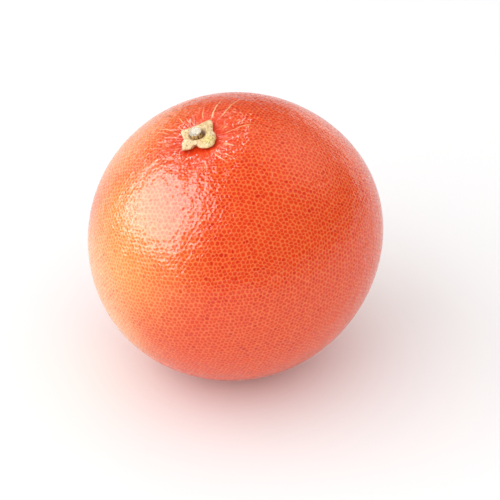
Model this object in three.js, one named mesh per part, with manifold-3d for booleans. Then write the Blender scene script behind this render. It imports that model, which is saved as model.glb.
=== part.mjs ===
// A whole ripe grapefruit with the stem button still on it, resting on the small flat spot under it.
// Two pieces: the fruit, one grown solid, and the button, which is the four-lobed calyx with the cut
// stub of the stem. The button snaps off a real fruit at its root, and leaves a shallow round scar.
//
// Units are millimetres. In the part's frame +Z is up and the origin is the middle of the flat spot.
// Both pieces are shaped in the stem frame: origin at the fruit's centre, +Z out through the stem.
// The stem frame leans, because the fruit has settled a little to one side of its blossom end.

import * as THREE from "three";
import { mergeVertices } from "three/addons/utils/BufferGeometryUtils.js";
import Module from "manifold-3d";

// ---- Driving dimensions -------------------------------------------------------------------------

const FRUIT_WIDTH = 108; // across the equator
const FRUIT_HEIGHT = 103.5; // pole to pole, before the stem basin sinks in
const REST_RADIUS = 9; // of the flat spot that the fruit stands on

const LEAN = THREE.MathUtils.degToRad(17.8); // of the stem from the vertical
const LEAN_TOWARDS = THREE.MathUtils.degToRad(219.5); // azimuth that the stem leans to, from +X

const BASIN_DEPTH = 1.9; // of the hollow round the stem
const BASIN_RADIUS = 11.5;
const BLOSSOM_DIMPLE = 0.7; // depth of the dimple at the blossom end
const BLOSSOM_RADIUS = 4.5;

const ROOT_RADIUS = 2.3; // of the button's root, which sits in the fruit's stem scar
const ROOT_DEPTH = 1.5;
const GAP = 0.3; // kept all round between button and fruit

const CALYX_RADIUS = 7; // of the calyx before its outline is drawn out into lobes
const COLLAR_RADIUS = 3.9; // of the raised ring round the stub, inside which nothing is drawn out
const CALYX_THICKNESS = 1.0; // at the rim
const COLLAR_HEIGHT = 2.3; // above the skin
const STUB_RADIUS = 2.55;
const STUB_HEIGHT = 4.1; // above the skin
const TIP_CURL = 0.9; // how far the longest lobe tip lifts off the skin
const CURL_FROM = 5.2; // from the axis, where the lobes start to lift
const CURL_TO = 9.1;
const TIP_SHARPNESS = 1.7; // 1 gives straight edges from notch to tip, and more gives drawn-out tips

const AROUND = 64; // facets round the stem axis
const END_DETAIL = [6, 150]; // degrees from the blossom end between which the outline is plain
const BLOSSOM_STEP = 1.5; // degrees between the outline's points below, in and above that stretch
const PLAIN_STEP = 4.5;
const STEM_STEP = 1.875;

// The calyx outline, going round: azimuth in degrees and reach from the axis, tip and notch in turn.
const CALYX_OUTLINE = [
  [19, 5.2],
  [59, 8.5],
  [96, 5.6],
  [147, 7.6],
  [181, 5.3],
  [225, 8.4],
  [260, 4.7],
  [310, 8.9],
];

// Creases that run out from under the calyx: azimuth in degrees, depth, and reach from the axis.
const CREASES = [
  [19, 0.9, 25],
  [58, 0.3, 17],
  [96, 0.6, 21],
  [139, 0.3, 18],
  [181, 0.5, 20],
  [222, 0.35, 17],
  [260, 0.75, 20],
  [298, 0.3, 18],
  [338, 0.4, 20],
];
const CREASE_WIDTH = 2.4;
const CREASE_START = 3; // from the axis, under the calyx
const CREASE_FULL = 7.5; // where they are at their deepest, just outside the calyx
const CREASE_TAPER = 0.45; // share of the reach at which they start to run out

// Slow swells that take the roundness off the equator: lobes around, share of the radius, phase.
const SWELLS = [
  [2, 0.014, -0.9],
  [3, 0.011, -0.2],
  [5, 0.002, 4.0],
];
const SWELL_FADE = 3; // power of the radius with which they fade towards the ends

// ---- Helpers ------------------------------------------------------------------------------------

const { degToRad, lerp, smoothstep } = THREE.MathUtils;
const wasm = await Module();
wasm.setup();

// A three.js geometry as a solid that can be cut.
function toSolid(geometry) {
  const bare = geometry.clone();
  bare.deleteAttribute("normal");
  bare.deleteAttribute("uv");
  const merged = mergeVertices(bare, 1e-3);
  return new wasm.Manifold(
    new wasm.Mesh({
      numProp: 3,
      vertProperties: merged.attributes.position.array,
      triVerts: new Uint32Array(merged.index.array),
    }),
  );
}

function toGeometry(solid) {
  const mesh = solid.getMesh();
  const geometry = new THREE.BufferGeometry();
  geometry.setAttribute(
    "position",
    new THREE.BufferAttribute(mesh.vertProperties, 3),
  );
  geometry.setIndex(new THREE.BufferAttribute(mesh.triVerts, 1));
  geometry.computeVertexNormals();
  return geometry;
}

// A solid of revolution about Z from [radius, height] points that run from the lower end of the axis
// to the upper end, with every point then moved by reshape(radius, azimuth, height).
function turned(outline, reshape) {
  const geometry = new THREE.LatheGeometry(
    outline.map(([r, z]) => new THREE.Vector2(r, z)),
    AROUND,
  );
  geometry.rotateX(Math.PI / 2); // LatheGeometry turns about Y
  const position = geometry.attributes.position;
  for (let i = 0; i < position.count; i++) {
    const x = position.getX(i);
    const y = position.getY(i);
    const [r, z] = reshape(Math.hypot(x, y), Math.atan2(y, x), position.getZ(i));
    const scale = Math.hypot(x, y) > 1e-6 ? r / Math.hypot(x, y) : 0;
    position.setXYZ(i, x * scale, y * scale, z);
  }
  return geometry;
}

// The angle from one azimuth to another, the short way round, in radians.
function turnBetween(from, to) {
  return Math.atan2(Math.sin(to - from), Math.cos(to - from));
}

// ---- The skin's shape in the stem frame ---------------------------------------------------------

const HALF_WIDTH = FRUIT_WIDTH / 2;
const HALF_HEIGHT = FRUIT_HEIGHT / 2;

// How far the creases sink the skin at one point near the stem.
function creaseDepth(r, azimuth) {
  let depth = 0;
  for (const [degrees, deepest, reach] of CREASES) {
    const across = r * Math.abs(turnBetween(degToRad(degrees), azimuth));
    const along =
      smoothstep(r, CREASE_START, CREASE_FULL) *
      (1 - smoothstep(r, CREASE_TAPER * reach, reach));
    depth += deepest * along * Math.exp(-((across / CREASE_WIDTH) ** 2));
  }
  return depth;
}

// How far the skin at the stem end lies below the plain ellipsoid.
function stemSink(r, azimuth) {
  const basin = BASIN_DEPTH * Math.exp(-((r / BASIN_RADIUS) ** 2));
  return basin + creaseDepth(r, azimuth);
}

// The height of the skin above the fruit's centre at the stem end.
function stemSkin(r, azimuth) {
  return HALF_HEIGHT * Math.sqrt(1 - (r / HALF_WIDTH) ** 2) - stemSink(r, azimuth);
}

// ---- The fruit ----------------------------------------------------------------------------------

// A half ellipse from the blossom end up to the stem, with close points where the ends have detail.
function fruitOutline() {
  const [plainFrom, plainTo] = END_DETAIL;
  const angles = [];
  for (let degrees = 0; degrees < plainFrom; degrees += BLOSSOM_STEP) angles.push(degrees);
  for (let degrees = plainFrom; degrees < plainTo; degrees += PLAIN_STEP) angles.push(degrees);
  for (let degrees = plainTo; degrees < 180; degrees += STEM_STEP) angles.push(degrees);
  angles.push(180);
  return angles.map((degrees) => {
    const fromBlossom = degToRad(degrees);
    return [HALF_WIDTH * Math.sin(fromBlossom), -HALF_HEIGHT * Math.cos(fromBlossom)];
  });
}

function shapeFruit(r, azimuth, z) {
  if (z > 0) z -= stemSink(r, azimuth);
  if (z < 0) z += BLOSSOM_DIMPLE * Math.exp(-((r / BLOSSOM_RADIUS) ** 2));
  const fullness = (r / HALF_WIDTH) ** SWELL_FADE;
  let swell = 1;
  for (const [lobes, share, phase] of SWELLS) {
    swell += share * fullness * Math.cos(lobes * azimuth + phase);
  }
  return [r * swell, z];
}

// The socket that the button's root stands in, and which shows as a scar once the button is off.
function stemScar() {
  const depth = ROOT_DEPTH + GAP;
  const above = BASIN_DEPTH + GAP; // the cutter clears the skin above it
  const cutter = new THREE.CylinderGeometry(
    ROOT_RADIUS + GAP,
    ROOT_RADIUS + GAP,
    depth + above,
    AROUND / 2,
  );
  cutter.rotateX(Math.PI / 2);
  cutter.translate(0, 0, stemSkin(0, 0) - depth + (depth + above) / 2);
  return cutter;
}

// Everything under the table top, in the stem frame.
function underTheTable(leaning) {
  const cutter = new THREE.BoxGeometry(
    FRUIT_WIDTH,
    FRUIT_WIDTH,
    FRUIT_WIDTH / 2,
  );
  cutter.translate(0, 0, -FRUIT_WIDTH / 4);
  return cutter.applyMatrix4(leaning.matrix.clone().invert());
}

function makeFruit(leaning) {
  const whole = toSolid(turned(fruitOutline(), shapeFruit));
  const cut = whole
    .subtract(toSolid(stemScar()))
    .subtract(toSolid(underTheTable(leaning)));
  const rind = new THREE.MeshStandardMaterial({
    color: 0xee6a3c,
    roughness: 0.35,
    metalness: 0,
  });
  const mesh = new THREE.Mesh(toGeometry(cut), rind);
  mesh.name = "fruit";
  return mesh;
}

// ---- The stem button ----------------------------------------------------------------------------

// Half a section, from the foot of the root out to the rim and back over the collar to the stub.
// Heights are above the skin that the button sits on.
const BUTTON_SECTION = [
  [0, -ROOT_DEPTH],
  [ROOT_RADIUS, -ROOT_DEPTH],
  [ROOT_RADIUS, GAP],
  [COLLAR_RADIUS, GAP],
  [0.75 * CALYX_RADIUS, GAP],
  [CALYX_RADIUS, GAP + 0.1],
  [CALYX_RADIUS, GAP + CALYX_THICKNESS],
  [0.88 * CALYX_RADIUS, GAP + 1.3 * CALYX_THICKNESS],
  [0.72 * CALYX_RADIUS, COLLAR_HEIGHT - 0.25],
  [COLLAR_RADIUS, COLLAR_HEIGHT],
  [COLLAR_RADIUS - 0.5, COLLAR_HEIGHT - 0.15],
  [STUB_RADIUS + 0.3, COLLAR_HEIGHT - 0.8],
  [STUB_RADIUS, COLLAR_HEIGHT - 0.75],
  [STUB_RADIUS - 0.1, STUB_HEIGHT - 0.5],
  [STUB_RADIUS - 0.6, STUB_HEIGHT - 0.1],
  [0, STUB_HEIGHT],
];

// How far the calyx reaches at an azimuth: sharp at the tips and round in the notches.
function calyxReach(azimuth) {
  const degrees = THREE.MathUtils.euclideanModulo(
    THREE.MathUtils.radToDeg(azimuth),
    360,
  );
  const count = CALYX_OUTLINE.length;
  let after = CALYX_OUTLINE.findIndex(([at]) => at > degrees);
  if (after < 0) after = 0;
  const [toDegrees, toReach] = CALYX_OUTLINE[after];
  const [fromDegrees, fromReach] = CALYX_OUTLINE[(after + count - 1) % count];
  const span = THREE.MathUtils.euclideanModulo(toDegrees - fromDegrees, 360);
  const gone = THREE.MathUtils.euclideanModulo(degrees - fromDegrees, 360) / span;
  const rise = toReach > fromReach ? gone : 1 - gone; // 0 in the notch and 1 at the tip
  return lerp(
    Math.min(fromReach, toReach),
    Math.max(fromReach, toReach),
    rise ** TIP_SHARPNESS,
  );
}

function shapeButton(r, azimuth, z) {
  let reach = r;
  if (r > COLLAR_RADIUS) {
    const out = (r - COLLAR_RADIUS) / (CALYX_RADIUS - COLLAR_RADIUS);
    reach = lerp(COLLAR_RADIUS, calyxReach(azimuth), out);
  }
  const curl = TIP_CURL * smoothstep(reach, CURL_FROM, CURL_TO);
  return [reach, z + curl + stemSkin(reach, azimuth)];
}

function makeButton() {
  const bark = new THREE.MeshStandardMaterial({
    color: 0xd8bf86,
    roughness: 0.8,
    metalness: 0,
  });
  const mesh = new THREE.Mesh(turned(BUTTON_SECTION, shapeButton), bark);
  mesh.name = "stem_button";
  return mesh;
}

// ---- Standing it up -----------------------------------------------------------------------------

// The stem frame, leant over and lifted so that the flat spot lies on the table about the origin.
function leaningFrame() {
  const up = new THREE.Vector3(0, 0, 1);
  const stem = new THREE.Vector3(
    Math.sin(LEAN) * Math.cos(LEAN_TOWARDS),
    Math.sin(LEAN) * Math.sin(LEAN_TOWARDS),
    Math.cos(LEAN),
  );
  // The ellipsoid's lowest point, from its centre.
  const squash = HALF_HEIGHT ** 2 - HALF_WIDTH ** 2;
  const down = Math.sqrt(HALF_WIDTH ** 2 + squash * stem.z ** 2);
  const lowest = up
    .clone()
    .multiplyScalar(-(HALF_WIDTH ** 2) / down)
    .addScaledVector(stem, (-squash * stem.z) / down);
  const sunk = down - Math.sqrt(down ** 2 - REST_RADIUS ** 2); // pressed flat by the table
  const leaning = new THREE.Group();
  leaning.quaternion.setFromUnitVectors(up, stem);
  leaning.position.copy(lowest).negate();
  leaning.position.z -= sunk;
  leaning.updateMatrix();
  return leaning;
}

const leaning = leaningFrame();
leaning.add(makeFruit(leaning), makeButton());

const grapefruit = new THREE.Group();
grapefruit.add(leaning);

export default grapefruit;
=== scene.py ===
import math
import random

import bmesh
import bpy
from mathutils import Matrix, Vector


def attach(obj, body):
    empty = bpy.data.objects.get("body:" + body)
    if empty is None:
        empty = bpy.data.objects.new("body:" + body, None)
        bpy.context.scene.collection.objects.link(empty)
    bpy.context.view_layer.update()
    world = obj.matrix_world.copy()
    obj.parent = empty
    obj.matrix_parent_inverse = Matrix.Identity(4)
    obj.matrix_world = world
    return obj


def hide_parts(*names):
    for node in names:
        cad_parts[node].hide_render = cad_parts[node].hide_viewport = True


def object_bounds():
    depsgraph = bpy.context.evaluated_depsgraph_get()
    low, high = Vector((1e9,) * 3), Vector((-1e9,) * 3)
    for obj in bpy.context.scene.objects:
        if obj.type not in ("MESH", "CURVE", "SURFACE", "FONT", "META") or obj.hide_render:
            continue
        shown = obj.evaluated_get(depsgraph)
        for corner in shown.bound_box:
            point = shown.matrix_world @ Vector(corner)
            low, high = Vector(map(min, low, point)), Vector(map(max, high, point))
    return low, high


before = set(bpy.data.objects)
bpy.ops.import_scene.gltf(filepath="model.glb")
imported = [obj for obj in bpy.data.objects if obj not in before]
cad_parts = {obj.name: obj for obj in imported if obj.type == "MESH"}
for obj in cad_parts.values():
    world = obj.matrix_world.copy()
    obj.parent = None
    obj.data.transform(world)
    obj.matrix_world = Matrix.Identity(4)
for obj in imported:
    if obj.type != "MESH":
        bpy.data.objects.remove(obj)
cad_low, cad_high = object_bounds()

MM = 0.001

# ---- The studio ---------------------------------------------------------------------------------
# A white table top under soft light, and a camera that looks down on the fruit from the front.
# The table is only the floor of the picture, and isn't part of the object.

FLOOR_SIZE = 8.0
FLOOR_WHITE = (0.9, 0.9, 0.9, 1)
FLOOR_ROUGHNESS = 0.9
WHITE_GEL = (1, 1, 1)
WARM_GEL = (1, 0.82, 0.7)
ROOM_STRENGTH = 0.2
SKYLIGHT_STRENGTH = 2.55
SKYLIGHT_SPREAD = math.radians(140)
SKYLIGHT_TILT = (math.radians(12), math.radians(4), 0)
CAMERA_HEIGHT_ANGLE = math.radians(35.3)
CAMERA_DISTANCE = 0.5155
CAMERA_LENS = 100
AIM_FROM_MIDDLE = Vector((5.2, -0.8, -6.2)) * MM

middle = (cad_low + cad_high) / 2
toward_camera = Vector((0, -math.cos(CAMERA_HEIGHT_ANGLE), math.sin(CAMERA_HEIGHT_ANGLE)))
camera_up = Vector((0, math.sin(CAMERA_HEIGHT_ANGLE), math.cos(CAMERA_HEIGHT_ANGLE)))
aim = middle + AIM_FROM_MIDDLE


def facing(position, target):
    """The rotation of a lamp or camera at position that looks at target."""
    return (position - target).to_track_quat("Z", "Y").to_euler()


camera_at = aim + toward_camera * CAMERA_DISTANCE
bpy.ops.object.camera_add(location=camera_at, rotation=facing(camera_at, aim))
camera = bpy.context.object
camera.name = "camera"
camera.data.lens = CAMERA_LENS
camera.data.clip_start = 0.01
bpy.context.scene.camera = camera
bpy.context.scene.view_settings.view_transform = "Standard"


def soft_box(name, right, up, toward, distance, size, watts, gel=WHITE_GEL, roll=0,
             mirrored=True, lighting=True):
    """A soft box in a direction given as seen by the camera, shining at the fruit's middle. The wax
    mirrors it only if it is mirrored, and it brightens surfaces only if it is lighting."""
    direction = Vector((right, 0, 0)) + camera_up * up + toward_camera * toward
    position = middle + direction.normalized() * distance
    bpy.ops.object.light_add(type="AREA", location=position, rotation=facing(position, middle))
    lamp = bpy.context.object
    lamp.name = name
    lamp.data.shape = "RECTANGLE"
    lamp.data.size, lamp.data.size_y = size
    lamp.data.energy = watts
    lamp.data.color = gel
    lamp.rotation_euler.rotate_axis("Z", math.radians(roll))
    lamp.visible_glossy = mirrored
    lamp.visible_diffuse = lighting
    lamp.visible_camera = False


soft_box("left_gleam", -0.79, 0.4, 0.46, 0.8, (0.93, 0.8), 17, roll=8, lighting=False)
soft_box("left_light", -0.795, 0.285, 0.534, 0.8, (1.22, 1.0), 3.8, mirrored=False)
soft_box("stem_gleam", -0.2, 0.98, 0, 0.9, (0.16, 0.12), 1.15, lighting=False)
soft_box("right_gleam", 0.57, 0.8, 0.15, 0.8, (0.7, 0.6), 1.35, WARM_GEL, lighting=False)
soft_box("back_gleam", 0.55, 0.55, -0.63, 0.9, (0.6, 0.34), 0.65, WARM_GEL, lighting=False)
soft_box("back_left_gleam", -0.62, 0.58, -0.53, 0.9, (0.6, 0.34), 0.8, WARM_GEL, lighting=False)

bpy.ops.object.light_add(type="SUN", location=(0, 0, 2), rotation=SKYLIGHT_TILT)
skylight = bpy.context.object
skylight.name = "skylight"
skylight.data.energy = SKYLIGHT_STRENGTH
skylight.data.angle = SKYLIGHT_SPREAD
skylight.visible_glossy = False

world = bpy.data.worlds.new("white_room")
bpy.context.scene.world = world
world.use_nodes = True
background = world.node_tree.nodes["Background"]
background.inputs["Color"].default_value = (1, 1, 1, 1)
background.inputs["Strength"].default_value = ROOM_STRENGTH

bpy.ops.object.select_all(action="DESELECT")
bpy.ops.mesh.primitive_plane_add(size=FLOOR_SIZE)
floor = bpy.context.object
floor.name = "floor"
paint = bpy.data.materials.new("white_table")
paint.use_nodes = True
paint_shader = paint.node_tree.nodes["Principled BSDF"]
paint_shader.inputs["Base Color"].default_value = FLOOR_WHITE
paint_shader.inputs["Roughness"].default_value = FLOOR_ROUGHNESS
paint_shader.inputs["Specular IOR Level"].default_value = 0
floor.data.materials.append(paint)

# ---- The fruit ----------------------------------------------------------------------------------
# One whole grapefruit: a thick waxy rind, dimpled all over by its oil glands and drawn into a shallow
# hollow round the stem, where creases and fine pale scars run outwards. It grew as one piece.

HALF_WIDTH = 54 * MM
HALF_HEIGHT = 51.75 * MM
REST_RADIUS = 9 * MM
LEAN = math.radians(17.8)
LEAN_TOWARDS = math.radians(219.5)
GLAND_STEPS = (2, 3, 7)  # the glands lie on an icosahedron's lattice, refined by these in turn
GLAND_STRAY = 0.46 * MM
GLAND_DEPTH = 0.05 * MM
GLAND_DEPTHS = (0.8, 1.2)  # each gland's own depth, as a share of that
# The tone of the skin between the glands, of most glands and of the few that are deep red pits.
WEB_TONE = 0.3
CELL_TONES = (0, 0.9)
PIT_TONES = (1.1, 1.7)
PIT_SHARE = 0.04
SEED = 11

# Gentle bulges and flats of the flank: azimuth in degrees, and how far it stands out in millimetres.
FLANK_PULLS = [(15, 1.2), (95, -0.5), (225, 0.95), (304, -1.3)]
FLANK_REACH = 52 * MM
BASIN_DEPTH = 1.9 * MM
BASIN_REACH = 20 * MM
BLOSSOM_DIMPLE = 0.7 * MM
BLOSSOM_REACH = 8 * MM
# Creases out from under the calyx: azimuth in degrees, depth and reach in millimetres.
CREASES = [
    (19, 0.9, 25), (58, 0.3, 17), (96, 0.6, 21), (139, 0.3, 18), (181, 0.5, 20),
    (222, 0.35, 17), (260, 0.75, 20), (298, 0.3, 18), (338, 0.4, 20),
]
CREASE_FROM = 5
CREASE_STEP = 2.4
CREASE_REACH = 4.6 * MM
CREASE_OVERLAP = 1.9  # how much deeper neighbouring pulls make one another
# Thin pale scars: azimuth in degrees, start, end and sideways bend in millimetres, half width, paleness.
SCARS = [
    (63, 9.0, 25, 4.0, 0.3, 1.0), (68, 14, 21, 1.2, 0.14, 0.6), (82, 9.5, 18.7, 1.3, 0.22, 0.8),
    (51, 11, 29, 3.6, 0.27, 1.0), (1, 8.6, 15.5, 2.4, 0.34, 1.0), (11, 13, 20, -0.4, 0.3, 0.9),
    (22, 8, 12, 0.6, 0.18, 0.6), (329, 9.2, 15.5, 1.0, 0.32, 1.0), (302, 10, 17, 0.6, 0.3, 1.0),
    (308, 9.2, 13, 0.4, 0.16, 0.6), (313, 13, 17.5, 0.3, 0.18, 0.8), (282, 12.5, 16, -0.8, 0.2, 0.7),
    (248, 8.6, 13.4, -1.9, 0.24, 0.8), (239, 9, 12, -0.7, 0.15, 0.6), (227, 8, 15.5, -4.4, 0.18, 0.7),
    (202, 15.5, 19.5, 0.3, 0.28, 0.9), (145, 10.5, 22, -0.4, 0.28, 1.0), (154, 12, 19.5, -1.2, 0.2, 0.7),
    (120, 11.3, 16.6, -0.5, 0.24, 0.9), (111, 9.5, 14, 0.3, 0.22, 0.8), (104.5, 8, 11.8, 0.4, 0.2, 0.8),
    (94, 5.6, 10, 1.0, 0.26, 0.8), (119, 5.5, 9, 0, 0.2, 0.7), (135, 7.8, 13, -0.6, 0.2, 0.8),
    (127, 9, 12, -0.2, 0.14, 0.5), (345, 10, 14, 0.4, 0.15, 0.6), (176, 9, 14, 0.5, 0.16, 0.5),
    (35, 10, 15, 0.8, 0.14, 0.5), (268, 9, 12.5, 0.3, 0.14, 0.5), (213, 10, 14, -0.8, 0.14, 0.5),
]
# The skin stays orange where leaves shaded it: the directions of those parts, in the stem frame.
# Towards one of them a pale sheen of light is painted onto the skin as paler colour.
SHADED = [(-0.67, -0.46, 0.58), (-0.93, -0.36, 0.07), (-0.63, 0.38, 0.68), (0.42, 0.72, -0.55)]
SHEEN_PAINT_DIRECTION = SHADED[1]

stem = Vector((
    math.sin(LEAN) * math.cos(LEAN_TOWARDS),
    math.sin(LEAN) * math.sin(LEAN_TOWARDS),
    math.cos(LEAN),
))
squash = HALF_HEIGHT**2 - HALF_WIDTH**2
down = math.sqrt(HALF_WIDTH**2 + squash * stem.z**2)
lowest = Vector((0, 0, -(HALF_WIDTH**2) / down)) - stem * (squash * stem.z / down)
sunk = down - math.sqrt(down**2 - REST_RADIUS**2)
fruit_centre = -lowest - Vector((0, 0, sunk))
stem_turn = Vector((0, 0, 1)).rotation_difference(stem)


def begin_editing(piece):
    bpy.ops.object.select_all(action="DESELECT")
    piece.select_set(True)
    bpy.context.view_layer.objects.active = piece
    bpy.ops.object.mode_set(mode="EDIT")


def end_editing():
    bpy.ops.object.mode_set(mode="OBJECT")


def choose(piece, wanted, kind="VERT"):
    """Selects the vertices, edges or faces for which wanted(element) is true, in edit mode."""
    bpy.ops.mesh.select_mode(type=kind)
    bpy.ops.mesh.select_all(action="DESELECT")
    shape = bmesh.from_edit_mesh(piece.data)
    elements = {"VERT": shape.verts, "EDGE": shape.edges, "FACE": shape.faces}[kind]
    for element in elements:
        if wanted(element):
            element.select_set(True)
    bmesh.update_edit_mesh(piece.data)


def pull(piece, place, by, reach, falloff="SMOOTH"):
    """Drags the vertex nearest to place, and the surface round it out to reach, by a distance."""
    bpy.ops.mesh.select_all(action="DESELECT")
    shape = bmesh.from_edit_mesh(piece.data)
    nearest = min(shape.verts, key=lambda vertex: (vertex.co - place).length_squared)
    nearest.select_set(True)
    bmesh.update_edit_mesh(piece.data)
    bpy.ops.transform.translate(
        value=by, use_proportional_edit=True, proportional_edit_falloff=falloff, proportional_size=reach,
    )


def polar(azimuth, r, z=0.0):
    """A point in the stem frame from an azimuth in degrees and a distance from the stem's axis."""
    a = math.radians(azimuth)
    return Vector((r * math.cos(a), r * math.sin(a), z))


def skin_height(r):
    """How high the skin is above the fruit's middle, at a distance from the stem's axis."""
    return HALF_HEIGHT * math.sqrt(1 - (r / HALF_WIDTH) ** 2)


bpy.ops.object.select_all(action="DESELECT")
bpy.ops.mesh.primitive_ico_sphere_add(subdivisions=1, radius=HALF_WIDTH)
fruit = bpy.context.object
fruit.name = "grapefruit_rind"
begin_editing(fruit)
for step in GLAND_STEPS:
    bpy.ops.mesh.subdivide(number_cuts=step - 1)
    bpy.ops.transform.tosphere(value=1)
bpy.ops.transform.vertex_random(offset=GLAND_STRAY, uniform=1, normal=0, seed=SEED)
bpy.ops.transform.tosphere(value=1)
end_editing()
grow = HALF_WIDTH / fruit.data.vertices[0].co.length  # making it round has shrunk it
begin_editing(fruit)
bpy.ops.mesh.select_all(action="SELECT")
bpy.ops.transform.resize(
    value=(grow, grow, grow * HALF_HEIGHT / HALF_WIDTH), center_override=(0, 0, 0)
)

for azimuth, out in FLANK_PULLS:
    pull(fruit, polar(azimuth, HALF_WIDTH), polar(azimuth, out * MM), FLANK_REACH)
pull(fruit, Vector((0, 0, HALF_HEIGHT)), (0, 0, -BASIN_DEPTH), BASIN_REACH)
pull(fruit, Vector((0, 0, -HALF_HEIGHT)), (0, 0, BLOSSOM_DIMPLE), BLOSSOM_REACH)

end_editing()
gland_count = len(fruit.data.vertices)

begin_editing(fruit)
bpy.ops.mesh.select_all(action="SELECT")
bpy.ops.mesh.poke()
choose(fruit, lambda edge: all(v.index < gland_count for v in edge.verts), "EDGE")
bpy.ops.mesh.edge_rotate()
bpy.ops.mesh.select_mode(type="VERT")
for azimuth, depth, reach in CREASES:
    r = CREASE_FROM
    while r < reach:
        fade = min(1, (reach - r) / (0.55 * reach))
        sink = depth * fade * fade * (3 - 2 * fade) / CREASE_OVERLAP
        pull(fruit, polar(azimuth, r * MM, skin_height(r * MM)), (0, 0, -sink * MM), CREASE_REACH)
        r += CREASE_STEP
end_editing()

# Each gland is a vertex that lies a little deeper than the skin between.
gland_values = fruit.data.attributes.new("gland", "FLOAT", "POINT")
tone_values = fruit.data.attributes.new("tone", "FLOAT", "POINT")
chance = random.Random(SEED)
depths = [0.0] * len(fruit.data.vertices)
tones = [WEB_TONE] * len(fruit.data.vertices)
for index in range(gland_count):
    depths[index] = chance.uniform(*GLAND_DEPTHS)
    span = CELL_TONES if chance.random() > PIT_SHARE else PIT_TONES
    tones[index] = chance.uniform(*span)
gland_values.data.foreach_set("value", depths)
tone_values.data.foreach_set("value", tones)
for index in range(gland_count):
    vertex = fruit.data.vertices[index]
    vertex.co -= vertex.co.normalized() * GLAND_DEPTH * depths[index]

fruit.rotation_euler = stem_turn.to_euler()
fruit.location = fruit_centre
bpy.ops.object.transform_apply(location=True, rotation=True, scale=True)
begin_editing(fruit)
choose(fruit, lambda vertex: vertex.co.z < 0)
bpy.ops.transform.resize(value=(1, 1, 0), center_override=(0, 0, 0))
bpy.ops.mesh.select_all(action="SELECT")
bpy.ops.mesh.normals_make_consistent(inside=False)
end_editing()
bpy.ops.object.shade_smooth()


class Wire:
    """A node's output socket, on which sums can be written as plain arithmetic."""

    def __init__(self, bench, socket):
        self.bench = bench
        self.socket = socket

    def sum(self, operation, *others):
        return self.bench.node("ShaderNodeMath", {"operation": operation}, [self, *others])

    def __add__(self, other):
        return self.sum("ADD", other)

    def __sub__(self, other):
        return self.sum("SUBTRACT", other)

    def __mul__(self, other):
        return self.sum("MULTIPLY", other)

    def __truediv__(self, other):
        return self.sum("DIVIDE", other)

    def __pow__(self, other):
        return self.sum("POWER", other)

    def __radd__(self, other):
        return self + other

    def __rmul__(self, other):
        return self * other

    def __rsub__(self, other):
        return self.bench.node("ShaderNodeMath", {"operation": "SUBTRACT"}, [other, self])


class Bench:
    """A new material, and the one way in which nodes are put into it."""

    def __init__(self, name):
        self.material = bpy.data.materials.new(name)
        self.material.use_nodes = True
        self.tree = self.material.node_tree
        self.shader = self.tree.nodes["Principled BSDF"]

    def node(self, kind, settings=None, values=(), output=0):
        """Adds a node: its settings first, then its inputs' values or wires, by place or by name."""
        made = self.tree.nodes.new(kind)
        for name, value in (settings or {}).items():
            setattr(made, name, value)
        pairs = values.items() if isinstance(values, dict) else enumerate(values)
        for key, value in pairs:
            if isinstance(value, Wire):
                self.tree.links.new(value.socket, made.inputs[key])
            elif value is not None:
                made.inputs[key].default_value = value
        return Wire(self, made.outputs[output])

    def between(self, low, high, value):
        """0 where value is at low, 1 where it is at high, and smooth in between."""
        return self.node(
            "ShaderNodeMapRange", {"interpolation_type": "SMOOTHSTEP"},
            {"Value": value, "From Min": low, "From Max": high},
        )

    def noise(self, place, scale, detail=2.0, roughness=0.5):
        return self.node(
            "ShaderNodeTexNoise", {},
            {"Vector": place, "Scale": scale, "Detail": detail, "Roughness": roughness},
        )

    def dot(self, place, direction):
        """How far place reaches in a direction."""
        return self.node("ShaderNodeVectorMath", {"operation": "DOT_PRODUCT"}, [place, direction], "Value")

    def mix(self, share, first, second):
        """The first colour, going over to the second as share goes from 0 to 1."""
        made = self.tree.nodes.new("ShaderNodeMix")
        made.data_type = "RGBA"
        for key, value in ((0, share), (6, first), (7, second)):
            if isinstance(value, Wire):
                self.tree.links.new(value.socket, made.inputs[key])
            elif isinstance(value, tuple):
                made.inputs[key].default_value = (*value, 1)
            else:
                made.inputs[key].default_value = value
        return Wire(self, made.outputs[2])

    def into(self, socket, value):
        """Feeds one of the shader's sockets with a wire or a plain value."""
        if isinstance(value, Wire):
            self.tree.links.new(value.socket, self.shader.inputs[socket])
        else:
            self.shader.inputs[socket].default_value = value


def srgb(red, green, blue):
    """A colour from 0-255 display values, as the linear numbers that shaders use."""
    return tuple(
        c / 255 / 12.92 if c <= 10.3 else ((c / 255 + 0.055) / 1.055) ** 2.4 for c in (red, green, blue)
    )


def stem_place(bench):
    """The surface's place in the stem frame, in millimetres, then its x, y and z and its distance
    from the stem's axis, which is Z there."""
    place = bench.node("ShaderNodeTexCoord", {}, [], "Object")
    place = bench.node(
        "ShaderNodeMapping", {"vector_type": "TEXTURE"},
        [place, tuple(fruit_centre), tuple(stem_turn.to_euler()), (MM, MM, MM)],
    )
    apart = bench.tree.nodes.new("ShaderNodeSeparateXYZ")
    bench.tree.links.new(place.socket, apart.inputs[0])
    x, y, z = (Wire(bench, apart.outputs[axis]) for axis in range(3))
    return place, x, y, z, (x * x + y * y) ** 0.5


# The web between the glands, their cells, and the few deep pits: where shaded, then where blushed.
WEB_COLOURS = (srgb(246, 175, 104), srgb(236, 110, 54))
CELL_COLOURS = (srgb(239, 134, 52), srgb(226, 60, 14))
PIT_COLOURS = (srgb(236, 112, 40), srgb(206, 32, 8))
# Painted sheen: paler web and cells, painted where a pale sheen of light lies on one shaded side.
SHEEN_PAINTED_WEB = srgb(248, 197, 149)
SHEEN_PAINTED_CELL = srgb(242, 161, 95)
STEM_END_RED = srgb(232, 52, 16)
HAIR_COLOUR = srgb(250, 190, 128)
SCAR_COLOUR = srgb(252, 214, 152)
BLOSSOM_BROWN = srgb(128, 88, 52)
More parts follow.
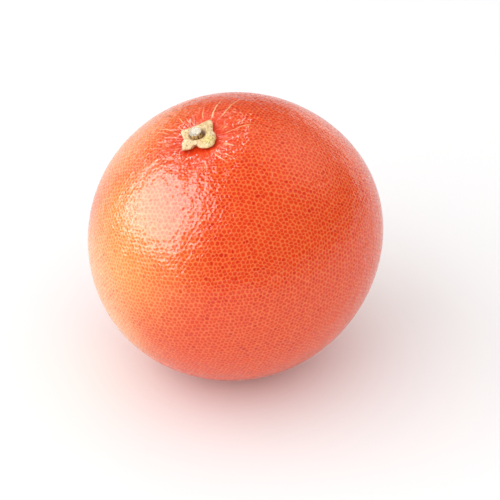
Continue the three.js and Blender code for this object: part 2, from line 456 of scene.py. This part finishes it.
# How high each kind of relief stands, in millimetres.
GRAIN_RELIEF = 0.015
LUMP_RELIEF = 0.35
GLAND_RELIEF = 0.07
PUCKER_RELIEF = 0.65
KNOB_RELIEF = 0.25
STEM_KNOB_RELIEF = 0.55
SCAR_RELIEF = 0.06
WAX_ROUGHNESS = 0.13
WAX_IOR = 1.52

rind = Bench("waxed_grapefruit_rind")
place, x, y, z, from_axis = stem_place(rind)
at_stem_end = rind.between(0, 20, z)


def scar(azimuth, start, end, bend, half_width, paleness):
    """A thin scar that runs out from the stem, from start to end millimetres: its paleness, 0 off it."""
    a = math.radians(azimuth)
    along = rind.dot(place, (math.cos(a), math.sin(a), 0))
    across = rind.dot(place, (-math.sin(a), math.cos(a), 0))
    gone = (along - start) / (end - start)
    off_line = (across - bend * gone + waver).sum("ABSOLUTE")
    width = half_width * (1.3 - gone)
    ends = rind.between(0, 0.2, gone) * (1 - rind.between(0.6, 1, gone))
    return (1 - rind.between(0.2, 1, off_line / width)) * ends * paleness


# The scars waver, and between them run finer hairlines.
waver = (rind.noise(place, 0.14, 1) - 0.5) * 2.2 + (rind.noise(place, 0.8, 1) - 0.5) * 0.3
scarred = None
for numbers in SCARS:
    one = scar(*numbers)
    scarred = one if scarred is None else scarred.sum("MAXIMUM", one)


def radial_noise(around, along, detail):
    """A noise that is drawn out away from the stem: how fast it changes round it and away from it."""
    swept = rind.node(
        "ShaderNodeCombineXYZ", {},
        [x / from_axis * around, y / from_axis * around, from_axis * along],
    )
    return rind.noise(swept, 1.0, detail)


puckers = radial_noise(8, 0.16, 2)
hair_noise = radial_noise(17, 0.13, 1)
hairs = 1 - rind.between(0.0, 0.035, (hair_noise - 0.5).sum("ABSOLUTE"))
hair_zone = rind.between(7, 9, from_axis) * (1 - rind.between(13, 22, from_axis)) * at_stem_end
hair_gate = rind.between(0.5, 0.62, rind.noise(place, 0.3, 1))
hairs = hairs * hair_zone * hair_gate * 0.55

# Each gland shows as a darker cell with a ragged edge, faint in the smooth collar round the stem.
gland = rind.node("ShaderNodeAttribute", {"attribute_name": "gland"}, [], "Fac")
tone = rind.node("ShaderNodeAttribute", {"attribute_name": "tone"}, [], "Fac")
grit = rind.noise(place, 1.6, 2)
patches = rind.noise(place, 0.4, 2)
gland_edge = gland + (grit - 0.5) * 0.4 + (patches - 0.5) * 0.3
smooth_collar = (1 - rind.between(7, 15, from_axis)) * at_stem_end
pore = rind.between(0.02, 0.42, gland_edge) * (1 - smooth_collar * 0.8)
pit = rind.between(0.2, 1.3, tone + (patches - 0.5) * 1.2)

# Where the skin has blushed red, and where it is still unripe.
drift = rind.noise(place, 0.028, 2)
outwards = rind.node("ShaderNodeVectorMath", {"operation": "NORMALIZE"}, [place])
shade = rind.dot(outwards, SHADED[0])
for direction in SHADED[1:]:
    shade = shade.sum("MAXIMUM", rind.dot(outwards, direction))
unripe = ((shade + (drift - 0.5) * 0.14 - 0.66) / 0.34).sum("MAXIMUM", 0).sum("MINIMUM", 1)
blush = 1 - unripe * unripe

web_colour = rind.mix(blush, *WEB_COLOURS)
cell_colour = rind.mix(blush, *CELL_COLOURS)
pit_colour = rind.mix(blush, *PIT_COLOURS)
# Painted sheen: the web and cells are painted paler towards one shaded side, as a pale sheen of light.
painted_sheen = rind.between(0.8, 1, rind.dot(outwards, SHEEN_PAINT_DIRECTION))
web_colour = rind.mix(painted_sheen * 0.8, web_colour, SHEEN_PAINTED_WEB)
cell_colour = rind.mix(painted_sheen * 0.8, cell_colour, SHEEN_PAINTED_CELL)
pore_colour = rind.mix(pit, cell_colour, pit_colour)
skin_colour = rind.mix(pore, web_colour, pore_colour)
near_stem = (1 - rind.between(6, 19, from_axis)) * at_stem_end
skin_colour = rind.mix(near_stem * 0.85, skin_colour, STEM_END_RED)
skin_colour = rind.mix(hairs, skin_colour, HAIR_COLOUR)
skin_colour = rind.mix(scarred * at_stem_end * 0.85, skin_colour, SCAR_COLOUR)
blossom_scar = (1 - rind.between(1.0, 2.4, from_axis + (grit - 0.5) * 1.6)) * (1 - at_stem_end)
skin_colour = rind.mix(blossom_scar * 0.85, skin_colour, BLOSSOM_BROWN)
rind.into("Base Color", skin_colour)

# The wax's relief: fine grain, broad lumps, the glands, and puckers and knobs near the stem.
fine = rind.noise(place, 0.9, 3)
lumps = rind.noise(place, 0.22, 2)
knobs = rind.noise(place, 0.36, 2)
pucker_zone = rind.between(4, 8, from_axis) * (1 - rind.between(9, 17, from_axis)) * at_stem_end
knob_zone = rind.between(6, 12, from_axis) * (1 - rind.between(20, 34, from_axis)) * at_stem_end
height = (
    fine * GRAIN_RELIEF + lumps * LUMP_RELIEF - gland_edge * (1 - smooth_collar * 0.8) * GLAND_RELIEF
    + puckers * pucker_zone * PUCKER_RELIEF + knobs * (KNOB_RELIEF + knob_zone * STEM_KNOB_RELIEF)
    + scarred * at_stem_end * SCAR_RELIEF
)
bump = rind.node("ShaderNodeBump", {}, {"Height": height, "Distance": MM, "Strength": 1.0})
rind.into("Normal", bump)
rind.into("Roughness", WAX_ROUGHNESS - pucker_zone * 0.03 + (fine - 0.5) * 0.06)
rind.into("IOR", WAX_IOR)
rind.into("Subsurface Weight", 0.05)
rind.into("Subsurface Radius", (1.0, 0.35, 0.12))
rind.into("Subsurface Scale", 0.001)
fruit.data.materials.append(rind.material)

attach(fruit, "root")
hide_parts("fruit")

# ---- The calyx ----------------------------------------------------------------------------------
# The dry four-lobed star of old sepals that holds the stem: leathery, pale buff, flecked with brown.
# It sits in the hollow of the skin, with a raised collar round the stub and lobe tips that curl up.

CALYX_SEAT = HALF_HEIGHT - 1.85 * MM  # the skin under it, in the stem frame
CALYX_AROUND = 64
CALYX_RIM = 5.7
# The section from the groove round the stub over the collar to the rim and back under: radius, height.
CALYX_SECTION = [
    (2.4, 1.3), (2.6, 1.7), (3.0, 2.2), (3.5, 2.3), (4.0, 1.95), (4.6, 1.6), (5.1, 1.35), (5.5, 1.2),
    (5.65, 1.0), (5.7, 0.7), (5.55, 0.4), (4.9, 0.3), (3.4, 0.3),
]
# Pulls on the rim that draw out the lobes and press in the notches: azimuth, outwards, up, reach.
LOBE_PULLS = [
    (58, 2.9, 0.7, 4.8), (147, 1.9, 0.4, 4.4), (225, 2.8, 0.5, 4.8), (318, 1.6, 0.1, 5.2),
    (293, 1.6, 0.1, 3.2), (310, 1.9, 0, 2.8), (337, 0.8, 0.1, 3.2), (19, -0.6, -0.1, 1.8),
    (181, -0.5, -0.1, 2.2), (260, -2.6, -0.4, 1.5),
]
# Swellings and folds of the lobes' upper side: azimuth, distance out, up, reach.
LOBE_SWELLS = [
    (318, 5.2, 0.8, 2.6), (300, 6.0, 0.3, 2.0), (59, 5.6, 0.3, 2.0), (147, 5.4, 0.25, 1.8),
    (225, 5.8, 0.3, 2.0), (345, 5.2, 0.25, 1.6), (40, 5.0, -0.2, 1.5), (205, 5.2, -0.25, 1.5),
]


def turned(name, section, around, fill, extrude):
    """A round piece that follows a section of radii and heights above the calyx's seat. It is left
    in edit mode, with its last ring selected."""
    bpy.ops.object.select_all(action="DESELECT")
    last_radius, last_height = section[0]
    bpy.ops.mesh.primitive_circle_add(vertices=around, radius=last_radius * MM, fill_type=fill)
    piece = bpy.context.object
    piece.name = name
    begin_editing(piece)
    bpy.ops.transform.translate(value=(0, 0, CALYX_SEAT + last_height * MM))
    for radius, height in section[1:]:
        extrude()
        share = radius / last_radius
        bpy.ops.transform.resize(value=(share, share, 1), center_override=(0, 0, 0))
        bpy.ops.transform.translate(value=(0, 0, (height - last_height) * MM))
        last_radius, last_height = radius, height
    return piece


calyx = turned("calyx", CALYX_SECTION, CALYX_AROUND, "NOTHING", bpy.ops.mesh.extrude_edges_move)
bpy.ops.mesh.edge_face_add()
choose(calyx, lambda edge: edge.is_boundary, "EDGE")
bpy.ops.mesh.edge_face_add()
bpy.ops.mesh.select_mode(type="VERT")
for azimuth, out, up, reach in LOBE_PULLS:
    rim = polar(azimuth, CALYX_RIM * MM, CALYX_SEAT + 0.8 * MM)
    pull(calyx, rim, polar(azimuth, out * MM, up * MM), reach * MM, "SHARP" if out > 0 else "SMOOTH")
for azimuth, r, up, reach in LOBE_SWELLS:
    pull(calyx, polar(azimuth, r * MM, CALYX_SEAT + 1.4 * MM), (0, 0, up * MM), reach * MM)
bpy.ops.mesh.select_all(action="SELECT")
bpy.ops.mesh.normals_make_consistent(inside=False)
end_editing()


def finish_mesh(piece, levels, lumps, lump_size):
    """Rounds a piece off with subdivision, roughens it with small lumps, and stands it in place."""
    rounding = piece.modifiers.new("rounding", "SUBSURF")
    rounding.levels = levels
    rounding.render_levels = levels
    roughening = piece.modifiers.new("roughening", "DISPLACE")
    roughening.texture = bpy.data.textures.new(piece.name + "_lumps", "CLOUDS")
    roughening.texture.noise_scale = lump_size
    roughening.strength = lumps
    roughening.mid_level = 0.5
    bpy.context.view_layer.objects.active = piece
    bpy.ops.object.modifier_apply(modifier="rounding")
    bpy.ops.object.modifier_apply(modifier="roughening")
    piece.rotation_euler = stem_turn.to_euler()
    piece.location = fruit_centre
    bpy.ops.object.transform_apply(location=True, rotation=True, scale=True)
    bpy.ops.object.shade_smooth()


finish_mesh(calyx, 2, 0.35 * MM, 1.1 * MM)

BUFFS = (srgb(224, 188, 128), srgb(246, 224, 176))
GREEN_TINGE = srgb(222, 200, 98)
GREEN_PLACE = (3.6, -3.6, 51.0)
RIM_BROWN = srgb(176, 116, 56)
FLECK_BROWN = srgb(150, 88, 34)
# Partly the brown fibres at the stub's base and partly painted shade in the groove round it.
GROOVE_FIBRES_AND_SHADE = srgb(112, 62, 18)

leather = Bench("dry_calyx_leather")
place, x, y, z, from_axis = stem_place(leather)
cloudy = leather.noise(place, 0.45, 3)
grain = leather.noise(place, 2.2, 3)
buff = leather.mix(leather.between(0.35, 0.65, cloudy), *BUFFS)
green_lobe = 1 - leather.between(1.0, 3.2, leather.node(
    "ShaderNodeVectorMath", {"operation": "DISTANCE"}, [place, GREEN_PLACE], "Value"
))
buff = leather.mix(green_lobe * 0.75, buff, GREEN_TINGE)
rim_brown = leather.between(6.2, 8.8, from_axis + (grain - 0.5) * 1.5)
buff = leather.mix(rim_brown * 0.55, buff, RIM_BROWN)
flecks = 1 - leather.between(0.36, 0.43, leather.noise(place, 1.4, 2, 0.7))
buff = leather.mix(flecks * 0.7, buff, FLECK_BROWN)
# Darker in the groove round the stub: partly its brown fibres, partly painted shade in the groove.
groove = 1 - leather.between(2.3, 3.0, from_axis)
buff = leather.mix(groove * 0.9, buff, GROOVE_FIBRES_AND_SHADE)
leather.into("Base Color", buff)
leather.into("Roughness", 0.62 + (grain - 0.5) * 0.3)
leather.into("Subsurface Weight", 0.05)
leather.into("Subsurface Scale", 0.001)
height = grain * 0.2 + leather.noise(place, 0.9, 3) * 0.45 - flecks * 0.12
leather.into("Normal", leather.node("ShaderNodeBump", {}, {"Height": height, "Distance": MM}))
calyx.data.materials.append(leather.material)

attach(calyx, "root")
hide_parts("stem_button")

# ---- The stem stub ------------------------------------------------------------------------------
# What the cut left of the stem: a short woody peg, pale grey across the dry cut and brown with
# fibres down its side. It grew out of the middle of the calyx and stands in the collar's groove.

STUB_AROUND = 32
STUB_SECTION = [
    (2.1, 0.9), (2.1, 1.6), (2.12, 2.3), (2.2, 3.0), (2.2, 3.5), (2.0, 3.85), (1.4, 4.0), (0.7, 3.95),
]
STUB_SHIFT = Vector((-0.5, -0.4, 0)) * MM  # it leans against one side of the groove
STUB_DENTS = [(120, 1.2, 0.15, 1.5), (300, 1.6, -0.25, 1.6), (20, 2.2, -0.2, 1.2), (200, 2.3, 0.1, 1.2)]

stub = turned("stem_stub", STUB_SECTION, STUB_AROUND, "NGON", bpy.ops.mesh.extrude_region_move)
for azimuth, r, up, reach in STUB_DENTS:
    pull(stub, polar(azimuth, r * MM, CALYX_SEAT + 3.9 * MM), (0, 0, up * MM), reach * MM)
bpy.ops.mesh.select_all(action="SELECT")
bpy.ops.transform.translate(value=STUB_SHIFT)
bpy.ops.mesh.normals_make_consistent(inside=False)
end_editing()
finish_mesh(stub, 2, 0.3 * MM, 0.7 * MM)

CUT_COLOURS = (srgb(188, 168, 134), srgb(252, 248, 236))
CUT_RIM_GREY = srgb(128, 112, 92)
BARK_COLOURS = (srgb(96, 54, 16), srgb(216, 174, 104))

wood = Bench("cut_stem_wood")
place, x, y, z, from_axis = stem_place(wood)
fibre_place = wood.node("ShaderNodeMapping", {}, [place, (0, 0, 0), (0, 0, 0), (1, 1, 0.2)])
fibres = wood.noise(fibre_place, 2.4, 3)
speckle = wood.noise(place, 2.6, 3)
top_high = (CALYX_SEAT + 3.25 * MM) / MM
on_top = wood.between(top_high, top_high + 0.5, z + (speckle - 0.5) * 0.5)
cut_face = wood.mix(wood.between(0.35, 0.68, speckle), *CUT_COLOURS)
cut_rim = wood.between(1.6, 2.15, from_axis + (speckle - 0.5) * 0.6)
cut_face = wood.mix(cut_rim * 0.45, cut_face, CUT_RIM_GREY)
bark = wood.mix(wood.between(0.4, 0.6, fibres), *BARK_COLOURS)
wood_colour = wood.mix(on_top, bark, cut_face)
wood.into("Base Color", wood_colour)
wood.into("Roughness", 0.75 + (speckle - 0.5) * 0.2)
height = fibres * (1 - on_top) * 0.4 + speckle * 0.12
wood.into("Normal", wood.node("ShaderNodeBump", {}, {"Height": height, "Distance": MM}))
stub.data.materials.append(wood.material)

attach(stub, "root")
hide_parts("stem_button")
